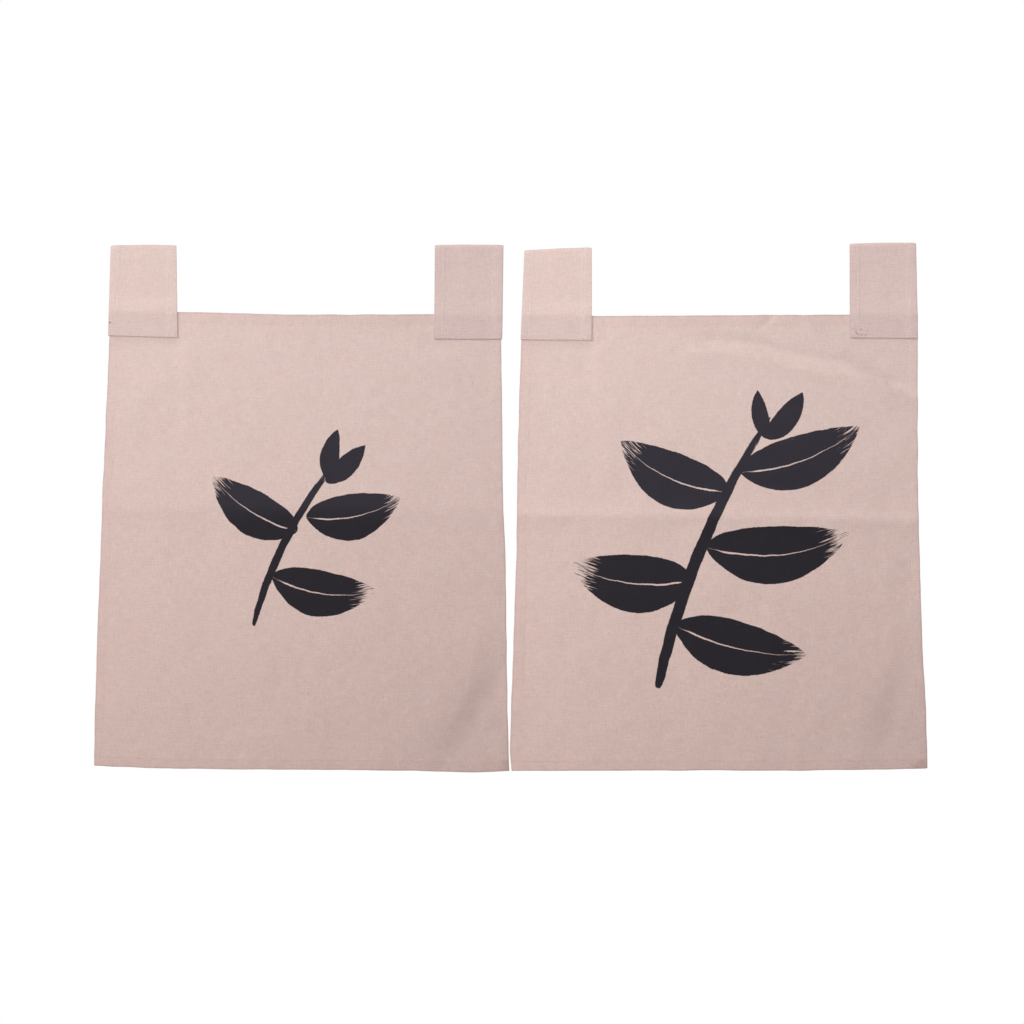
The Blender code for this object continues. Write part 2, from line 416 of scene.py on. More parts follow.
DROOP_OVER = 9.0
DROOP_ENDS = 60.0
DROOP_INSIDE = 4.0  # it starts to die away sideways this far inside a tab's side
DROOP_SIDEWAYS = 16.0


def droop(panel, x, depth):
    """How far back the cloth lies just below its tabs."""
    back = np.zeros_like(x)
    for tab in tabs_of(panel):
        left, right = tab.bottom_left, tab.bottom_right
        across = (x - left.x) / (right.x - left.x)
        below = np.maximum(depth - between(left.depth, right.depth, np.clip(across, 0, 1)), 0)
        beside = np.maximum(left.x - x, x - right.x)
        near = 1 - eased((beside + DROOP_INSIDE) / DROOP_SIDEWAYS)
        back += tab.droop * (1 - np.exp(-below / DROOP_OVER)) * np.exp(-below / DROOP_ENDS) * near
    return back


print("creases and steps:", [len(panel.soft + panel.sharp + panel.steps) for panel in PANELS])


# %% [markdown]
# ## Hems
#
# Each edge of the cloth is turned twice to the back and sewn down, so it is three plies thick with a round
# fold outside. A hem could be a strip laid behind the panel. Here it is the same sheet, carried round the
# fold, because then the fold is seen from the side and the hem's own edge from the back. The mesh is one
# grid whose outer rows and columns are stations, each with an inset from the edge and a lift off the back.
# The ply that is turned under can't be seen and is left out.

# %% Stations round a hem
CLOTH_THICK = 0.26
PLY = 0.28  # from the middle of one ply to the next
HEM_LIFT = 2 * PLY
FOLD_STEPS = 4
# The rounded inner edge: how far in from the hem's width each station is, and how far below its lift. The
# others lie at shares of the width, or at steps from the stitches or from the width.
LIP = ((0.10, 0.27), (0.0, 0.16), (0.12, 0.05), (0.4, 0.0))
BACK_SHARES = (0.55, 0.3)
FACE_SHARES = (0.18, 0.34, 0.50, 0.64)
FACE_STARTS = 0.25
SEAM_STEPS = (-0.8, -0.4, 0.0, 0.4, 0.8)
PAST_HEM = (0.1, 1.3, 3.0)
Station = namedtuple("Station", "inset lift")
Stations = namedtuple("Stations", "shares lifts insets")


def hem_stations(hem):
    """Stations from a hem's inner edge, round its fold, to the face of the cloth past its stitches."""
    radius = HEM_LIFT / 2
    edge = CLOTH_THICK / 2
    lip = [Station(hem.width - inward, HEM_LIFT - off) for inward, off in LIP]
    back = [Station(hem.stitch, HEM_LIFT)] + [Station(hem.width * share, HEM_LIFT) for share in BACK_SHARES]
    turns = np.linspace(math.pi, 0, FOLD_STEPS + 1)
    fold = [Station(edge + radius * (1 - math.sin(turn)), radius * (1 - math.cos(turn))) for turn in turns]
    face = [Station(edge + radius + FACE_STARTS, 0.0)]
    face += [Station(hem.width * share, 0.0) for share in FACE_SHARES]
    seam = [Station(hem.stitch + step, 0.0) for step in SEAM_STEPS]
    past = [Station(hem.width + step, 0.0) for step in PAST_HEM]
    return lip + back + fold + face + seam + past


def grid_stations(size, first, last, pitch):
    """The rows or columns of a sheet's grid between two hems, with plain ones about pitch apart between."""
    start, start_lifts = np.array(hem_stations(first)).T
    end, end_lifts = np.array(hem_stations(last)[::-1]).T
    steps = round((size - start[-1] - end[0]) / pitch)
    plain = np.linspace(start[-1], size - end[0], steps + 1)[1:-1]
    shares = np.concatenate([start / size, plain / size, 1 - end / size])
    lifts = np.concatenate([start_lifts, 0 * plain, end_lifts])
    insets = np.concatenate([start, np.minimum(plain, size - plain), end])
    return Stations(shares, lifts, insets)


print("stations round a hem:", len(hem_stations(TOP_HEM)))

# %% [markdown]
# ## What stitching does to canvas
#
# A lockstitch draws the cloth in: the seam lies in a small groove, and the cloth puckers beside it in short
# ripples of uneven length. Canvas that has been washed and folded also has a faint waviness all over. Both
# are small lifts that are added to the panel's surface, worked out from smooth noise.

# %% Grooves, puckers and unevenness
GROOVE_WIDE = 0.8
HEM_FULL = 0.05  # how far a hem's three plies push the face forward
FULL_RISES = 3.0
FULL_ENDS, FULL_FALLS = 0.8, 1.8  # it falls again from this far inside the hem's width, over this much
PUCKER_LIFT = 0.16
PUCKER_LONG = 5.5
PUCKER_REACH = 7.0
WAVE_LIFT = 0.5
WAVE_LONG = 48.0
RIPPLE_LIFT = 0.20
RIPPLE_LONG = 13.0
WANDER = 0.5  # how far an edge wanders from its smooth line
WANDER_LONG = 22.0


def smooth_noise(x, y, long, seed):
    """Smooth noise from -1 to 1 whose bumps are about long apart."""
    places = zip((x / long).ravel(), (y / long).ravel(), strict=True)
    values = [noise.noise((u, v, 17.3 * seed)) for u, v in places]
    return np.array(values).reshape(x.shape)


def seam_lift(inset, along, hem, full, seed):
    """How far the cloth's face is lifted by a hem and its stitches, by distance from the edge."""
    groove = -hem.groove * np.exp(-(((inset - hem.stitch) / GROOVE_WIDE) ** 2))
    inside = 1 - eased((inset - hem.width + FULL_ENDS) / FULL_FALLS)
    hem_full = full * inside * np.clip(inset / FULL_RISES, 0, 1)
    wave = smooth_noise(along, np.zeros_like(along), PUCKER_LONG, seed)
    pucker = PUCKER_LIFT * wave * np.exp(-(np.abs(inset - hem.stitch) / PUCKER_REACH))
    return groove + hem_full + pucker


def panel_size(panel):
    """A panel's mean width and height."""
    width = np.mean([row.right - row.left for row in panel.sides])
    return float(width), float(np.mean([row.bottom - row.top for row in panel.ends]))


PANEL_FORWARD = 0.1  # the face ply's middle, in front of the solid's
SOFT_GROWS_OVER = 40.0
SHARP_GROWS_OVER = 12.0


def panel_surface(panel):
    """The function from shares across and down a panel, and a lift off its back, to places."""
    seed = 10 * panel.seed
    width, height = panel_size(panel)

    def wandering(along, number):
        return WANDER * smooth_noise(along, 0 * along, WANDER_LONG, seed + number)

    def place(across, down, lift):
        run = across * width
        top = read(panel.ends, "share", "top", across) + wandering(run, 0)
        bottom = read(panel.ends, "share", "bottom", across) + wandering(run, 1)
        depth = between(top, bottom, down)
        left = read(panel.sides, "depth", "left", depth) + wandering(depth, 2)
        right = read(panel.sides, "depth", "right", depth) + wandering(depth, 3)
        x = between(left, right, across)
        soft = sum(crease_height(crease, x, depth) for crease in panel.soft)
        soft += WAVE_LIFT * smooth_noise(x, depth, WAVE_LONG, seed + 4)
        sharp = sum(crease_height(crease, x, depth) for crease in panel.sharp)
        sharp += sum(step_height(step, x, depth) for step in panel.steps)
        sharp += RIPPLE_LIFT * smooth_noise(x, depth, RIPPLE_LONG, seed + 5)
        forward = soft * freedom(panel, x, depth, SOFT_GROWS_OVER)
        forward += sharp * freedom(panel, x, depth, SHARP_GROWS_OVER) - droop(panel, x, depth)
        edges = (
            (across * width, depth, panel.left_hem),
            ((1 - across) * width, depth, panel.right_hem),
            (down * height, x, TOP_HEM),
            ((1 - down) * height, x, BOTTOM_HEM),
        )
        for number, (inset, along, hem) in enumerate(edges, 6):
            forward += seam_lift(inset, along, hem, HEM_FULL, seed + number)
        y = bow(panel, x) - PANEL_FORWARD - forward + lift
        return np.stack([x, y, -depth], axis=-1)

    return place


print("panels in mm:", [[round(side, 1) for side in panel_size(panel)] for panel in PANELS])

# %% [markdown]
# ## From a surface to a sheet
#
# A sheet starts as a flat grid. Every vertex is moved to its place on the surface, the corners where two
# hems would lie on each other are cut away as a maker trims them, and a Solidify modifier gives the cloth
# its thickness. Its cut coordinates, in metres across and along the flat cloth, are kept as a UV map, so
# that the weave follows the cloth round every fold. Marks say where it is hemmed, for a painted deeper shade
# where less light shines through the plies, where its outermost fold is, which handling has darkened and
# painted shade darkens further, and where a tab's ends lie on the panel, for painted shade there.

# %% Sheet of cloth
OVER = 0.5  # how much further back a hem at the end lies where it crosses a side hem
OVER_EASE = 4.0
MIDDLE = 0.5
HEM_FADE = 0.5  # how far past a hem's width its painted deeper shade ends
OUTERMOST, OUTERMOST_FADE = 0.6, 0.8
SEAT_BEFORE, SEAT_FADE = 1.5, 3.0


def crossing_lift(column_lifts, column_insets, row_lifts, hem_width):
    """The lift of each vertex, with a hem at the end laid over the hems at the sides."""
    crossing = 1 - eased((column_insets - hem_width) / OVER_EASE)
    return np.maximum(column_lifts, row_lifts) + OVER * crossing * row_lifts / HEM_LIFT


def sheet_of_cloth(name, place, flat, pitch, hems, seat=0.0):
    """A hemmed cloth laid on a surface, of a flat size in millimetres. hems are its left, right and ends.
    seat is how much of each end lies on another cloth."""
    left_hem, right_hem, first_hem, last_hem = hems
    columns = grid_stations(flat[0], left_hem, right_hem, pitch[0])
    rows = grid_stations(flat[1], first_hem, last_hem, pitch[1])
    wide, long = len(columns.shares) - 1, len(rows.shares) - 1
    shape = bmesh.new()
    bmesh.ops.create_grid(shape, x_segments=wide, y_segments=long, size=0.5)
    flat_places = np.array([vertex.co.xy for vertex in shape.verts])
    i = np.rint((flat_places[:, 0] + 0.5) * wide).astype(int)
    j = np.rint((0.5 - flat_places[:, 1]) * long).astype(int)
    across, column_lifts, column_insets = [values[i] for values in columns]
    along, row_lifts, row_insets = [values[j] for values in rows]
    side_width = np.where(across < MIDDLE, left_hem.width, right_hem.width)
    end_width = np.where(along < MIDDLE, first_hem.width, last_hem.width)
    side_deeper = np.where(across < MIDDLE, left_hem.deeper, right_hem.deeper)
    end_deeper = np.where(along < MIDDLE, first_hem.deeper, last_hem.deeper)
    lift = crossing_lift(column_lifts, column_insets, row_lifts, side_width)
    places = place(across, along, lift) * MM
    in_side = 1 - eased(column_insets - side_width + HEM_FADE)
    in_end = 1 - eased(row_insets - end_width + HEM_FADE)
    # hem and seat carry painted shade, and edge carries handling wear with painted shade
    marks = {
        "hem": np.maximum(in_side * side_deeper, in_end * end_deeper),
        "edge": 1 - eased((np.minimum(column_insets, row_insets) - OUTERMOST) / OUTERMOST_FADE),
        "seat": (1 - eased((row_insets - seat + SEAT_BEFORE) / SEAT_FADE)) * bool(seat),
    }
    cut = shape.loops.layers.uv.new("cut")
    layers = {mark: shape.verts.layers.float.new(mark) for mark in marks}
    for vertex, spot in zip(shape.verts, places, strict=True):
        vertex.co = spot
        for mark, layer in layers.items():
            vertex[layer] = marks[mark][vertex.index]
    cut_places = np.stack([across * flat[0], along * flat[1]], axis=-1) * MM
    for face in shape.faces:
        for loop in face.loops:
            loop[cut].uv = cut_places[loop.vert.index]
    double = (column_lifts > 0) & (row_lifts > 0)
    trimmed = [face for face in shape.faces if any(double[vertex.index] for vertex in face.verts)]
    bmesh.ops.delete(shape, geom=trimmed, context="FACES")
    piece = piece_from(shape, name)
    wall = piece.modifiers.new("thickness", "SOLIDIFY")
    wall.thickness = CLOTH_THICK * MM
    wall.offset = 0.0
    wall.use_even_offset = True
    wall.material_offset = 1
    wall.material_offset_rim = 1
    print(name, "is a sheet of", len(piece.data.polygons), "faces before its thickness")
    return piece


PANEL_PITCH = (3.0, 2.6)
surfaces = {}
cloths = {}
sizes = {}
hems_of = {}
for panel in PANELS:
    name = panel.name
    sizes[name] = panel_size(panel)
    hems_of[name] = (panel.left_hem, panel.right_hem, TOP_HEM, BOTTOM_HEM)
    surfaces[name] = panel_surface(panel)
    cloths[name] = sheet_of_cloth(name + "_cloth", surfaces[name], sizes[name], PANEL_PITCH, hems_of[name])

# %% [markdown]
# ## The tabs
#
# A tab is a strip with both sides and both ends hemmed. It is folded over at the top, and its two ends are
# sewn over the front and the back of the panel's top hem. Empty, its front stays flat and its back sags
# open behind. Its surface is worked out from that section in the side view: the strip runs along it from
# the front end, up and over the fold, and down to the back end, and hems are lifted off its inner side.

# %% The section of a tab and its surface
FRONT_SEAT = -1.00  # the middle of a tab's ply in front of the panel
BACK_SEAT = 3.0
BACK_LEG_SPREAD = 4000.0  # the outer tabs' back legs hang this little further out than their fronts
TWIST_FROM = 0.25  # a tab turns a little to one side above this share of its height
TAB_SAG = 0.22  # how far the single ply between its side hems sinks in
Section = namedtuple("Section", "height front back")
TAB_SECTIONS = (
    Section(0.000, FRONT_SEAT, BACK_SEAT), Section(0.150, FRONT_SEAT, BACK_SEAT),
    Section(0.262, FRONT_SEAT, BACK_SEAT), Section(0.330, -0.80, 4.4), Section(0.430, -0.56, 11.0),
    Section(0.560, -0.50, 16.9), Section(0.720, -0.50, 18.6), Section(0.850, -0.52, 15.4),
    Section(0.930, -0.50, 10.2), Section(0.980, -0.15, 6.2), Section(1.000, 3.2, 3.2),
)
SEATED_TO = 2  # the first sections, up to this one, lie on the panel
SECTION_SAMPLES = 900
TAB_ARCH = 0.6  # how much higher a tab's fold is in its middle than at its sides
LEAN = 1.1  # how far a tab's front leans back above its panel, by the square of how far that droops
LEAN_OVER = 0.25
CORNER_DROP = 12  # the power by which the arch drops again at the very corners
SAG_STARTS, SAG_OVER = 0.4, 3.0
TAB_WAVES = 0.4  # how wavy a tab is, as a share of a panel


def tab_width(tab):
    """How wide a tab is, between its top and its lower end."""
    return np.mean([tab.top_right.x - tab.top_left.x, tab.bottom_right.x - tab.bottom_left.x])


def tab_section(tab):
    """Places along a tab's strip: length so far, height share, set back, and the direction to its inside."""
    seated = TAB_SECTIONS[SEATED_TO].height
    leans = [eased((section.height - seated) / LEAN_OVER) for section in TAB_SECTIONS]
    leans[-1] = 0.0
    front = [
        (section.height, section.front + LEAN * tab.droop**2 * lean)
        for section, lean in zip(TAB_SECTIONS, leans, strict=True)
    ]
    back = [(section.height, section.back) for section in reversed(TAB_SECTIONS[:-1])]
    heights, set_backs = zip(*front, *back, strict=True)
    knots = np.arange(len(heights))
    fine = np.linspace(0, knots[-1], SECTION_SAMPLES)
    height = through(knots, heights, fine)
    set_back = through(knots, set_backs, fine)
    left_tall = tab.bottom_left.depth - tab.top_left.depth
    right_tall = tab.bottom_right.depth - tab.top_right.depth
    tall = (left_tall + right_tall) / 2
    rise = np.gradient(height * tall)
    back_step = np.gradient(set_back)
    step = np.hypot(rise, back_step)
    length = np.concatenate([[0.0], np.cumsum((step[1:] + step[:-1]) / 2)])
    return length, height, set_back, rise / step, -back_step / step


def tab_surface(tab):
    """The function from shares across and along a tab's strip, and a lift off its inside, to places."""
    length, height, set_back, inside_y, inside_z = tab_section(tab)
    wide = tab_width(tab)
    seed = 10 * tab.seed

    def place(across, along, lift):
        at = along * length[-1]
        rise = np.interp(at, length, height)
        left = between(tab.bottom_left.x, tab.top_left.x, rise)
        right = between(tab.bottom_right.x, tab.top_right.x, rise)
        top = between(tab.top_left.depth, tab.top_right.depth, across) + CLOTH_THICK / 2
        top += TAB_ARCH * (1 - 4 * across * (1 - across))
        top += TAB_ARCH * np.abs(2 * across - 1) ** CORNER_DROP
        bottom = between(tab.bottom_left.depth, tab.bottom_right.depth, across)
        x = between(left, right, across)
        sides = np.minimum(across, 1 - across) * wide
        forward = -TAB_SAG * eased((sides - TAB_SIDE_HEM.stitch - SAG_STARTS) / SAG_OVER)
        forward += WAVE_LIFT * TAB_WAVES * smooth_noise(x, at, WAVE_LONG / 2, seed)
        forward += seam_lift(sides, at, TAB_SIDE_HEM, 0.0, seed + 1)
        forward += seam_lift(at, x, TAB_END_HEM, 0.0, seed + 2)
        forward += seam_lift(length[-1] - at, x, TAB_END_HEM, 0.0, seed + 3)
        inward = lift - forward
        behind = np.interp(at, length, set_back)
        turned = tab.twist * (across - 0.5) * wide * eased((rise - TWIST_FROM) / (1 - TWIST_FROM))
        y = bow(tab.panel, x) + behind + turned + inward * np.interp(at, length, inside_y)
        x = x * (1 + np.maximum(behind, 0) / BACK_LEG_SPREAD)
        z = -between(bottom, top, rise) + inward * np.interp(at, length, inside_z)
        return np.stack([x, y, z], axis=-1)

    return place


TAB_PITCH = (2.4, 1.6)
TAB_SEAT = 24.6
for tab in TABS:
    name = tab.name
    sizes[name] = (tab_width(tab), tab_section(tab)[0][-1])
    hems_of[name] = (TAB_SIDE_HEM, TAB_SIDE_HEM, TAB_END_HEM, TAB_END_HEM)
    surfaces[name] = tab_surface(tab)
    cloths[name] = sheet_of_cloth(
        name + "_cloth", surfaces[name], sizes[name], TAB_PITCH, hems_of[name], TAB_SEAT
    )
print("finished sizes in mm:", {name: (round(wide), round(long)) for name, (wide, long) in sizes.items()})

# %% [markdown]
# ## Stitches
#
# Machine stitches show as a row of short, slightly raised dashes on each side of the cloth. A texture could
# draw them, but from close by they should catch the light, so each one is a small stretched ball that lies
# along the seam. One joined mesh holds all the stitches of a sheet.

# %% Rows of stitches
STITCH_PITCH = 2.5
STITCH_LONG = 2.0
PITCH_VARIES, LONG_VARIES = (0.94, 1.06), (0.9, 1.08)
SEAM_SAMPLES = 600
THREAD_WIDE = 0.65
THREAD_HIGH = 0.34
BALL_FACES = 20
SEWN_DOWN = 2.0  # how far from a tab's end the seam runs that holds it to the panel
FACE_LIFT = -CLOTH_THICK / 2
BACK_LIFT = HEM_LIFT + CLOTH_THICK / 2
Seam = namedtuple("Seam", "across0 along0 across1 along1 lift")


def stitch_matrix(first, last, wide=THREAD_WIDE, high=THREAD_HIGH, longer=1.0):
    """Turns a ball of radius 1 into one stitch between two places in millimetres."""
    thread = last - first
    size = Matrix.Diagonal((thread.length / 2 * longer, wide / 2, high / 2, 1))
    turn = thread.to_track_quat("X", "Z").to_matrix().to_4x4()
    return Matrix.Scale(MM, 4) @ Matrix.Translation((first + last) / 2) @ turn @ size


def sew(name, place, seams, seed):
    """One mesh of stitches along seams, which are straight lines in the sheet's shares."""
    chance = random.Random(seed)
    thread = bmesh.new()
    for seam in seams:
        shares = np.linspace(0, 1, SEAM_SAMPLES)
        across = between(seam.across0, seam.across1, shares)
        along = between(seam.along0, seam.along1, shares)
        line = place(across, along, np.full_like(shares, seam.lift))
        run = np.concatenate([[0.0], np.cumsum(np.linalg.norm(np.diff(line, axis=0), axis=1))])
        start = STITCH_PITCH * chance.random()
        while start + STITCH_LONG < run[-1]:
            ends = (start, start + STITCH_LONG * chance.uniform(*LONG_VARIES))
            first, last = [Vector([np.interp(end, run, line[:, k]) for k in range(3)]) for end in ends]
            bmesh.ops.create_icosphere(thread, subdivisions=1, radius=1, matrix=stitch_matrix(first, last))
            start += STITCH_PITCH * chance.uniform(*PITCH_VARIES)
    piece = piece_from(thread, name)
    print(name, "has", len(piece.data.polygons) // BALL_FACES, "stitches")
    return piece


SEAM_FROM, SEAM_TO = 0.004, 0.996  # the shares between which a hem's seam runs
END_FROM, END_TO = 0.01, 0.99


def frame_seams(hems, size):
    """The seams of a sheet's four hems, on its face and on its back."""
    left, right = hems[0].stitch / size[0], 1 - hems[1].stitch / size[0]
    first, last = hems[2].stitch / size[1], 1 - hems[3].stitch / size[1]
    lines = [(side, SEAM_FROM, side, SEAM_TO) for side in (left, right)]
    lines += [(SEAM_FROM, end, SEAM_TO, end) for end in (first, last)]
    return [Seam(*line, lift) for lift in (FACE_LIFT, BACK_LIFT) for line in lines]


stitches = {}
for sheet in (*PANELS, *TABS):
    seams = frame_seams(hems_of[sheet.name], sizes[sheet.name])
    if sheet in TABS:
        sewn = SEWN_DOWN / sizes[sheet.name][1]
        seams += [Seam(END_FROM, end, END_TO, end, FACE_LIFT) for end in (sewn, 1 - sewn)]
    stitches[sheet.name] = sew(sheet.name + "_stitches", surfaces[sheet.name], seams, sheet.seed)

# %% [markdown]
# Where the outer right tab's seam ends, the machine has run back and forth, and a tangle of a few dark
# red-brown threads stands out. Each is a curl of the same short lengths, laid on the tab's face. A small
# knot of it sits at the edge of the outer left tab.

# %% A tangle of thread ends
TANGLE_THREAD = 0.17
Curl = namedtuple("Curl", "across along wide high turns lean")
CURLS = (
    Curl(0.052, 9.0, 1.0, 0.5, 0.6, 0.3),
    Curl(0.088, 6.2, 0.9, 0.8, 1.3, 0.3),
    Curl(0.117, 4.2, 1.4, 0.7, 1.5, 2.1),
    Curl(0.170, 3.4, 1.8, 0.5, 1.2, 4.0),
    Curl(0.235, 3.2, 1.3, 0.6, 1.3, 5.2),
    Curl(0.165, 8.9, 0.8, 0.6, 0.7, 1.0),
    Curl(0.262, 8.0, 0.9, 0.5, 0.7, 2.6),
)
KNOT = (Curl(0.022, 13.6, 0.7, 0.7, 2.4, 0.0), Curl(0.026, 13.9, 0.5, 0.9, 1.7, 2.0))
CURL_STEPS = 26
CURL_OVERLAP = 1.3  # how much longer each short length is, so that they join
CURL_TIGHTENS = 0.5  # how much smaller a curl is at its end
CURL_BOBS = 1.7
RISE_OFF_FACE = 0.25


def tangle_of(name, tab, curls):
    """One mesh of curled thread ends on a tab's face."""
    wide, long = sizes[tab.name]
    thread = bmesh.new()
    for curl in curls:
        turn = np.linspace(0, 2 * math.pi * curl.turns, CURL_STEPS)
        shrink = 1 - CURL_TIGHTENS * turn / turn[-1]
        across = curl.across + curl.wide * shrink * np.cos(turn + curl.lean) / wide
        along = (curl.along + curl.high * shrink * np.sin(turn + curl.lean)) / long
        off = FACE_LIFT - RISE_OFF_FACE * (1 + np.sin(CURL_BOBS * turn)) / 2
        line = [Vector(spot) for spot in surfaces[tab.name](across, along, off)]
        for first, last in zip(line, line[1:], strict=False):
            ball = stitch_matrix(first, last, TANGLE_THREAD, TANGLE_THREAD, CURL_OVERLAP)
            bmesh.ops.create_icosphere(thread, subdivisions=1, radius=1, matrix=ball)
    print(name, "has", len(curls), "curls")
    return piece_from(thread, name)


tangles = {
    "tab_right_outer": tangle_of("tab_right_outer_tangle", TABS[3], CURLS),
    "tab_left_outer": tangle_of("tab_left_outer_knot", TABS[0], KNOT),
}

# %% [markdown]
# ## Material maths
#
# Building a material node by node hides what it works out, so a wire stands for a node's output here, and
# an expression on wires adds the Math nodes that it needs.


# %% Wires
class Wire:
    """An output in a material's tree. Python's operators on it add Math nodes."""

    def __init__(self, tree, output=None):
        self.tree = tree
        self.output = output

    def node(self, kind, sockets, out=0, **settings):
        """A new node: its settings first, then the values or wires of its sockets. Gives one output."""
        made = self.tree.nodes.new(kind)
        for setting, value in settings.items():
            setattr(made, setting, value)
        for name, value in sockets.items():
            if isinstance(value, Wire):
                self.tree.links.new(value.output, made.inputs[name])
            else:
                made.inputs[name].default_value = value
        return Wire(self.tree, made.outputs[out])

    def maths(self, operation, first, second=0.0):
        return self.node("ShaderNodeMath", {0: first, 1: second}, operation=operation)

    def __add__(self, other):
        return self.maths("ADD", self, other)

    def __sub__(self, other):
        return self.maths("SUBTRACT", self, other)

    def __rsub__(self, other):
        return self.maths("SUBTRACT", other, self)

    def __mul__(self, other):
        return self.maths("MULTIPLY", self, other)

    def __truediv__(self, other):
        return self.maths("DIVIDE", self, other)

    def __pow__(self, other):
        return self.maths("POWER", self, other)

    def __abs__(self):
        return self.maths("ABSOLUTE", self)

    __radd__ = __add__
    __rmul__ = __mul__

    def sine(self):
        return self.maths("SINE", self)

    def at_least(self, other):
        return self.maths("MAXIMUM", self, other)

    def at_most(self, other):
        return self.maths("MINIMUM", self, other)

    def ramp(self, low, high):
        """0 below low, 1 above high, and smooth between."""
        sockets = {"Value": self, "From Min": low, "From Max": high}
        return self.node("ShaderNodeMapRange", sockets, interpolation_type="SMOOTHSTEP")


def stretched(place, across, along, shift=0.0):
    """A place on the cloth in units of across and along millimetres, for a pattern of that size."""
    sockets = {0: place, 1: (1 / (across * MM), 1 / (along * MM), 1 / MM), 2: (shift, 2 * shift, 0)}
    return place.node("ShaderNodeVectorMath", sockets, operation="MULTIPLY_ADD")


def cloud(place, across, along, shift=0.0, detail=1.0):
    """Noise from 0 to 1 whose bumps are about across by along millimetres."""
    sockets = {"Vector": stretched(place, across, along, shift), "Scale": 1.0, "Detail": detail}
    return place.node("ShaderNodeTexNoise", sockets, noise_dimensions="3D")


def channel(colour, number):
    return colour.node("ShaderNodeSeparateColor", {0: colour}, out=number)


def blend(mask, plain, covered, kind="MIX"):
    """The colour plain where mask is 0 and covered where it is 1."""
    sockets = {0: mask, 6: plain, 7: covered}
    return mask.node("ShaderNodeMix", sockets, out=2, data_type="RGBA", blend_type=kind)


def shade(factor, colour):
    """A colour times a number that varies over the cloth."""
    grey = factor.node("ShaderNodeCombineColor", {0: factor, 1: factor, 2: factor})
    sockets = {0: 1.0, 6: colour, 7: grey}
    return factor.node("ShaderNodeMix", sockets, out=2, data_type="RGBA", blend_type="MULTIPLY")


# %% [markdown]
# ## The print
#
# Each half carries a spray of leaves, brushed on boldly in near-black ink. A picture of it could be laid on
# the cloth, but it would blur from close by. Here each stroke of the brush is a line of the table: its two
# ends, how far it bends and how wide it is. The material works out its edge, which stays sharp, and its
# tail, which breaks into streaks where the brush ran dry.

# %% Strokes of the brush
Stroke = namedtuple("Stroke", "x0 depth0 x1 depth1 bend width blunt taper dry rib")
SMALL_SPRAY = (
    Stroke(-262, 388, -178, 222, 10, 9, 0.25, 0.35, 0.3, 0.0),  # the stem
    Stroke(-217, 292, -304, 236, 9, 46, 0.65, 0.85, 0.5, 2.0),
    Stroke(-208, 278, -112, 258, -9, 48, 0.65, 0.85, 0.5, 2.0),
    Stroke(-243, 338, -136, 352, -11, 48, 0.65, 0.85, 0.6, 2.2),
    Stroke(-186, 240, -176, 188, 3, 20, 0.6, 0.8, 0.2, 0.0),  # buds at the end of it
    Stroke(-188, 242, -148, 204, -2, 22, 0.6, 0.8, 0.2, 0.0),
)
LARGE_SPRAY = (
    Stroke(150, 452, 265, 175, 14, 13, 0.2, 0.4, 0.3, 0.0),
    Stroke(234, 232, 356, 186, -11, 54, 0.65, 0.85, 0.5, 2.2),
    Stroke(222, 252, 112, 200, 13, 56, 0.65, 0.85, 0.5, 2.2),
    Stroke(199, 308, 346, 294, -15, 60, 0.65, 0.85, 0.6, 2.4),
    Stroke(186, 342, 60, 326, 11, 60, 0.65, 0.85, 0.7, 2.4),
    Stroke(168, 388, 302, 418, -9, 56, 0.65, 0.85, 0.5, 2.2),
    Stroke(262, 198, 252, 148, 3, 18, 0.6, 0.8, 0.2, 0.0),
    Stroke(262, 198, 298, 150, -3, 24, 0.6, 0.8, 0.2, 0.0),
)
EDGE_SOFT = 0.35  # millimetres over which the ink's edge fades
RIB_ENDS = 0.92  # a leaf's bare rib narrows towards this share of it
STREAK_LONG, STREAK_WIDE, STREAK_SHARP = 22, 1.1, 6
DRY_FROM = 0.62  # the share of a stroke at which the brush starts to run dry


def stroke_mask(stroke, x, depth):
    """1 inside a stroke and 0 outside it."""
    run_x, run_depth = stroke.x1 - stroke.x0, stroke.depth1 - stroke.depth0
    long = math.hypot(run_x, run_depth)
    from_x, from_depth = x - stroke.x0, depth - stroke.depth0
    share = from_x * (run_x / long**2) + from_depth * (run_depth / long**2)
    away = from_x * (run_depth / long) - from_depth * (run_x / long)
    share = share.at_least(0.0).at_most(1.0)
    away = away - 4 * stroke.bend * share * (1 - share)
    fullest = stroke.blunt / (stroke.blunt + stroke.taper)
    full = fullest**stroke.blunt * (1 - fullest) ** stroke.taper
    half = share**stroke.blunt * (1 - share) ** stroke.taper * (stroke.width / 2 / full)
    inside = half - abs(away) - EDGE_SOFT
    if stroke.rib:
        rib = (RIB_ENDS - share) * stroke.rib * share.ramp(0.04, 0.16)
        inside = inside.at_most(abs(away) - rib * 0.5)
    if stroke.dry:
        streak_flat = {"X": share * (long / STREAK_LONG), "Y": away / STREAK_WIDE}
        streak_place = x.node("ShaderNodeCombineXYZ", streak_flat)
        streak = x.node("ShaderNodeTexNoise", {"Vector": streak_place, "Scale": 1.0, "Detail": 2.0})
        dryness = share.ramp(DRY_FROM, 1.0) * stroke.dry + (abs(away) / stroke.width).ramp(0.3, 0.5) * 0.2
        inside = inside.at_most((streak - dryness * 0.8 - 0.12) * STREAK_SHARP)
    return inside.ramp(-EDGE_SOFT, EDGE_SOFT)


EDGE_WANDER = ((16.0, 2.4), (2.2, 0.9))  # the size of each unevenness of the edge, and how far it reaches


def x_and_depth(place):
    """Millimetres across and down, from Object coordinates."""
    x, z = [place.node("ShaderNodeSeparateXYZ", {0: place}, out=axis) for axis in "XZ"]
    return x * (1 / MM), z * (-1 / MM)


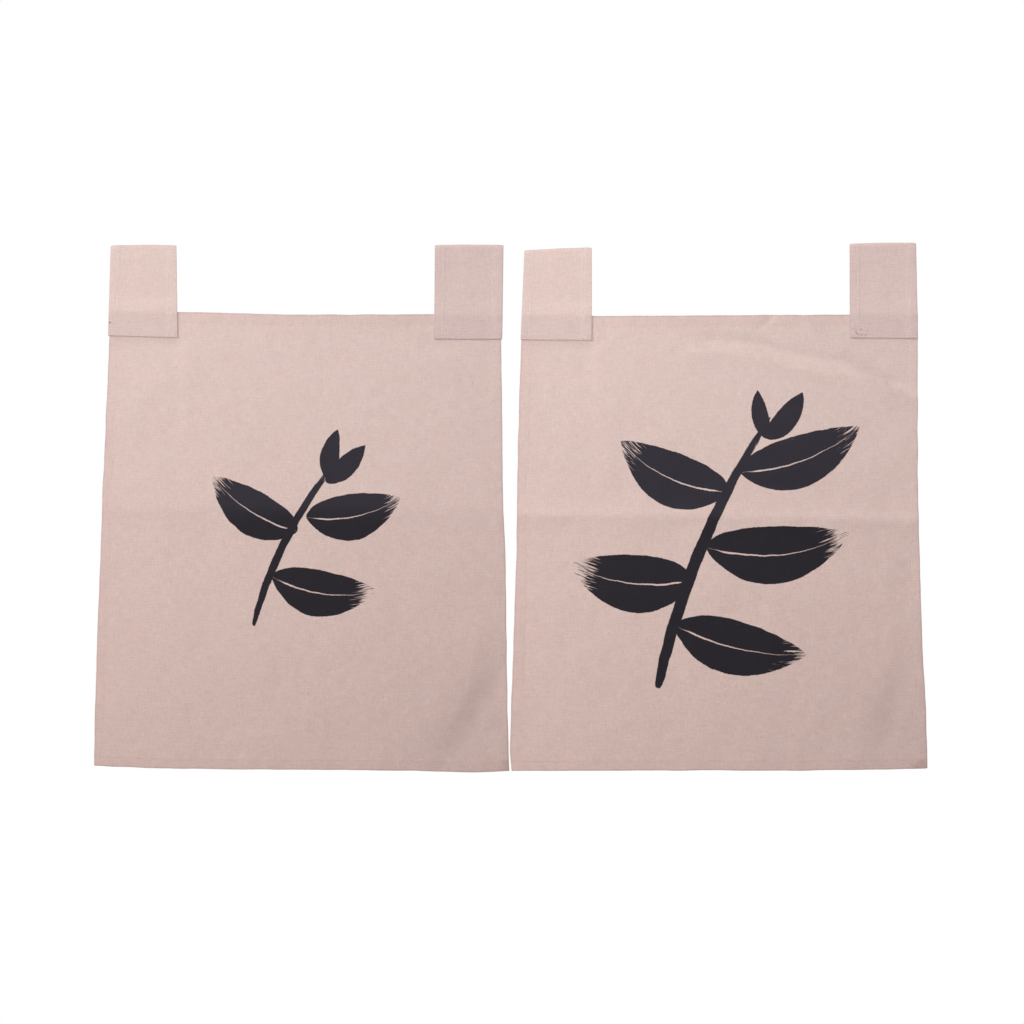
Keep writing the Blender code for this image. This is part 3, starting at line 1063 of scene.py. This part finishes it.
def print_mask(tree, strokes):
    """1 where there is ink, from Object coordinates."""
    place = Wire(tree).node("ShaderNodeTexCoord", {}, out="Object")
    x, depth = x_and_depth(place)
    for size, reach in EDGE_WANDER:
        flat = place.node("ShaderNodeVectorMath", {0: place, 1: (1, 0, 1)}, operation="MULTIPLY")
        sockets = {"Vector": flat, "Scale": 1 / (size * MM), "Detail": 1.0}
        wander = place.node("ShaderNodeTexNoise", sockets, out="Color")
        x = x + (channel(wander, 0) - 0.5) * reach
        depth = depth + (channel(wander, 1) - 0.5) * reach
    ink = stroke_mask(strokes[0], x, depth)
    for stroke in strokes[1:]:
        ink = ink.at_least(stroke_mask(stroke, x, depth))
    return ink


print("strokes of the brush:", len(SMALL_SPRAY), "and", len(LARGE_SPRAY))

# %% [markdown]
# ## Painted shadow by the tabs
#
# A brown line about a millimetre wide is painted on a panel as the shadow along the lower end and the right
# side of each tab, with a little painted shade further below.

# %% Painted shadow along the tabs
# the brown of the painted shadow beside the tabs
PAINTED_SHADOW = (0.56, 0.44, 0.40, 1)
PAINTED_SHADE_BELOW = 0.08  # painted shade below a tab, for each millimetre that the panel droops
PAINTED_SHADE_REACH = 12.0


def painted_shadow_by(tab, x, depth):
    """How much painted shadow and shade there is around one tab."""
    low_left, low_right, high_right = tab.bottom_left, tab.bottom_right, tab.top_right
    fall = (low_right.depth - low_left.depth) / (low_right.x - low_left.x)
    lean = (high_right.x - low_right.x) / (low_right.depth - high_right.depth)
    below = depth - x * fall - (low_left.depth - low_left.x * fall)
    right = x + depth * lean - (low_right.x + low_right.depth * lean)
    under = (x - low_left.x).ramp(-0.5, 2.0) * (1 - right.ramp(0.4, 1.4))
    line = (1 - abs(below - 0.2).ramp(0.3, 1.0)) * under
    beside = (1 - abs(right - 0.3).ramp(0.3, 1.2)) * (1 - below.ramp(0.4, 1.4))
    soft = (1 - below.ramp(0.0, PAINTED_SHADE_REACH)) * below.ramp(-1.0, 0.0) * (1 - right.ramp(-8.0, 3.0))
    soft = soft * (x - low_left.x).ramp(-3.0, 8.0) * (PAINTED_SHADE_BELOW * tab.droop)
    return line.at_least(beside) * tab.dust + soft


# %% [markdown]
# ## Canvas, ink and thread
#
# The cloth is a plain-woven cotton canvas of thick and thin yarns: up close, yarns go over and under each
# other, and from further away, the thick stretches show as short lines both ways. The undyed cotton is
# dusty pink, and a few seed specks are woven in. Its colour is painted paler near the top and deeper
# towards the bottom, for the way the light falls on it. Where it is hemmed, three plies have a painted
# deeper shade, as less light shines through them, and so does a tab where it lies on its panel.

# %% Canvas
CANVAS = (0.674, 0.542, 0.504, 1)
CANVAS_PAINTED_DEEPER_BELOW = (0.687, 0.527, 0.487, 1)
PALE_TO, DEEP_FROM = 60, 480  # millimetres down, between which the painted colour deepens
# painted shade on hems: three plies let less light through than one
HEM_PAINTED_SHADE_TINT = (0.985, 0.961, 0.963, 1)
# the outermost folds: darkened by handling, and partly by painted shade
EDGE_WEAR_AND_SHADE_TINT = (0.86, 0.83, 0.84, 1)
# painted shade where a tab lies on its panel
SEAT_PAINTED_SHADE_TINT = (0.945, 0.945, 0.95, 1)
MAUVE = (0.995, 0.980, 1.005, 1)  # two tabs are from a slightly cooler piece of the cloth
SPECK = (0.20, 0.11, 0.08, 1)
SPECK_APART = 24.0
SPECK_SHOWS = 0.24
INK = (0.0215, 0.0178, 0.0270, 1)
INK_TONE_WITH_SHEEN, INK_PAINTED_SHEEN_DROP = 1.1, 0.38  # its tone above the pressed crease, lighter there with painted sheen, and how much of that painted sheen is gone below it
INK_PAINTED_SHEEN_FADES = (262, 290)
CLOTH_ROUGH, INK_SMOOTHER = 0.92, 0.37
CLOTH_SHINE = 0.25
YARN = 0.68  # from one yarn to the next
WEAVE_DEEP = 0.14
SLUBS = ((11.0, 1.5, 0.15), (4.5, 1.3, 0.14))  # how long, how wide and how strong thick stretches show


def dyed(colour, dye):
    return tuple(part * share for part, share in zip(colour, dye, strict=True))


def yarns(cut):
    """The height of the weave, the tone of its yarns and how the ink lies uneven on them."""
    turns = math.pi / (YARN * MM)
    across, along = [cut.node("ShaderNodeSeparateXYZ", {0: cut}, out=axis) * turns for axis in "XY"]
    crossing = across.sine() * along.sine()
    warp = abs(across.sine()) * (crossing * 0.5 + 0.5)
    weft = abs(along.sine()) * (0.5 - crossing * 0.5)
    weave = warp.at_least(weft)
    fuzz = cloud(cut, 0.35, 0.35, 1.3)
    fine = cloud(cut, 1.6, 1.3, 5.9, 2.0)
    height = weave * 0.5 + fuzz * 0.2
    tone = (weave - 0.5) * 0.03 + (fine - 0.5) * 0.14 + 1
    for long, wide, strength in SLUBS:
        slub_across = cloud(cut, long, wide, 3.1 + long)
        slub_along = cloud(cut, wide, long, 7.7 + long)
        height = height + slub_across * 0.5 + slub_along * 0.4
        tone = tone + (slub_across - 0.5) * strength + (slub_along - 0.5) * (strength * 0.9)
    tone = tone + (cloud(cut, 11, 9, 9.1, 2.0) - 0.5) * 0.08
    return height, tone, (fine - 0.5) * 0.5 + (weave - 0.5) * 0.3


def canvas(name, strokes=(), tabs=(), ink_shows=1.0, edge_wear_and_shade_shows=0.8, dye=WHITE):
    """Canvas with a print on it. ink_shows is how much of the ink's colour this side has."""
    finish, surface = finish_of(name, {"Roughness": CLOTH_ROUGH, "Specular IOR Level": CLOTH_SHINE})
    tree = finish.node_tree
    cut = Wire(tree).node("ShaderNodeUVMap", {}, uv_map="cut")
    height, tone, ink_grain = yarns(cut)
    place = cut.node("ShaderNodeTexCoord", {}, out="Object")
    x, depth = x_and_depth(place)
    # painted paler near the top and deeper below, with random mottle on top of it
    deeper = depth.ramp(PALE_TO, DEEP_FROM) + (cloud(cut, 26, 20, 2.2, 2.0) - 0.5) * 1.4
    plain = blend(deeper.at_least(0.0).at_most(1.0), dyed(CANVAS, dye), dyed(CANVAS_PAINTED_DEEPER_BELOW, dye))
    # painted shade on hems and where a tab lies on its panel, and handling wear with painted shade on the
    # outermost folds
    marks = (("hem", HEM_PAINTED_SHADE_TINT, 1), ("edge", EDGE_WEAR_AND_SHADE_TINT, edge_wear_and_shade_shows), ("seat", SEAT_PAINTED_SHADE_TINT, 1))
    for mark, tint, shows in marks:
        marked = cut.node("ShaderNodeAttribute", {}, "Fac", attribute_name=mark) * shows
        plain = blend(marked, plain, tint, "MULTIPLY")
    # painted shadow along the lower end and right side of each tab, with painted shade below it
    for tab in tabs:
        plain = blend(painted_shadow_by(tab, x, depth), plain, PAINTED_SHADOW, "MULTIPLY")
    cells = {"Vector": stretched(cut, SPECK_APART, SPECK_APART), "Scale": 1.0}
    specks = cut.node("ShaderNodeTexVoronoi", cells, out="Distance", voronoi_dimensions="2D")
    chosen = cut.node("ShaderNodeTexVoronoi", cells, out="Color", voronoi_dimensions="2D")
    speck = (1 - specks.ramp(0.005, 0.052)) * channel(chosen, 0).ramp(0.40, 1.0) * SPECK_SHOWS
    colour = blend(speck, shade(tone, plain), SPECK)
    if strokes:
        ink = print_mask(tree, strokes) * ink_shows
        # the ink is painted lighter above the pressed crease, as its sheen there
        ink_tone_and_sheen = ink_grain + INK_TONE_WITH_SHEEN - depth.ramp(*INK_PAINTED_SHEEN_FADES) * INK_PAINTED_SHEEN_DROP
        colour = blend(ink, colour, shade(ink_tone_and_sheen, INK))
        roughness = CLOTH_ROUGH - ink * INK_SMOOTHER
        tree.links.new(roughness.output, surface.inputs["Roughness"])
    bump = {"Height": height, "Strength": 0.8, "Distance": WEAVE_DEEP * MM}
    relief = cut.node("ShaderNodeBump", bump)
    tree.links.new(colour.output, surface.inputs["Base Color"])
    tree.links.new(relief.output, surface.inputs["Normal"])
    print(name, "has", len(tree.nodes), "nodes")
    return finish


# %% Thread
THREAD_ROUGH = 0.7
THREAD = (0.80, 0.665, 0.615, 1)
PALE_THREAD = (0.85, 0.725, 0.68, 1)
DARK_THREAD = (0.23, 0.115, 0.095, 1)


def thread_finish(name, colour):
    """Sewing thread, a little uneven in tone."""
    finish, surface = finish_of(name, {"Roughness": THREAD_ROUGH})
    place = Wire(finish.node_tree).node("ShaderNodeTexCoord", {}, out="Object")
    uneven = shade((cloud(place, 0.5, 0.5) - 0.5) * 0.25 + 1, colour)
    finish.node_tree.links.new(uneven.output, surface.inputs["Base Color"])
    return finish


thread = thread_finish("thread", THREAD)
pale_thread = thread_finish("pale_thread", PALE_THREAD)
dark_thread = thread_finish("dark_thread", DARK_THREAD)
print("threads:", [finish.name for finish in (thread, pale_thread, dark_thread)])

# %% Finish
canvas_of = {
    "panel_left": canvas("canvas_left", SMALL_SPRAY, TABS[:2]),
    "panel_right": canvas("canvas_right", LARGE_SPRAY, TABS[2:]),
}
reverse_of = {
    "panel_left": canvas("canvas_left_back", SMALL_SPRAY, ink_shows=0.10),
    "panel_right": canvas("canvas_right_back", LARGE_SPRAY, ink_shows=0.10),
}
pale_tabs = canvas("canvas_of_tabs", edge_wear_and_shade_shows=0.1)
mauve_tabs = canvas("canvas_of_mauve_tabs", edge_wear_and_shade_shows=0.6, dye=MAUVE)
for tab, tab_canvas in zip(TABS, (pale_tabs, mauve_tabs, pale_tabs, mauve_tabs), strict=True):
    canvas_of[tab.name] = reverse_of[tab.name] = tab_canvas
for tangle in tangles.values():
    tangle.data.materials.append(dark_thread)
for name, piece in cloths.items():
    on_panel = name.startswith("panel")
    piece.data.materials.append(canvas_of[name])
    piece.data.materials.append(reverse_of[name])
    stitches[name].data.materials.append(thread if on_panel else pale_thread)
    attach(piece, "root")
    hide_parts(name)
    sewn_on = [found[name] for found in (stitches, tangles) if name in found]
    for other in sewn_on:
        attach(other, "root")
    left, right, first, last = [hem.width for hem in hems_of[name]]
    wide, long = sizes[name]
    cut_size = ((wide + left + right) * MM, (long + first + last) * MM)
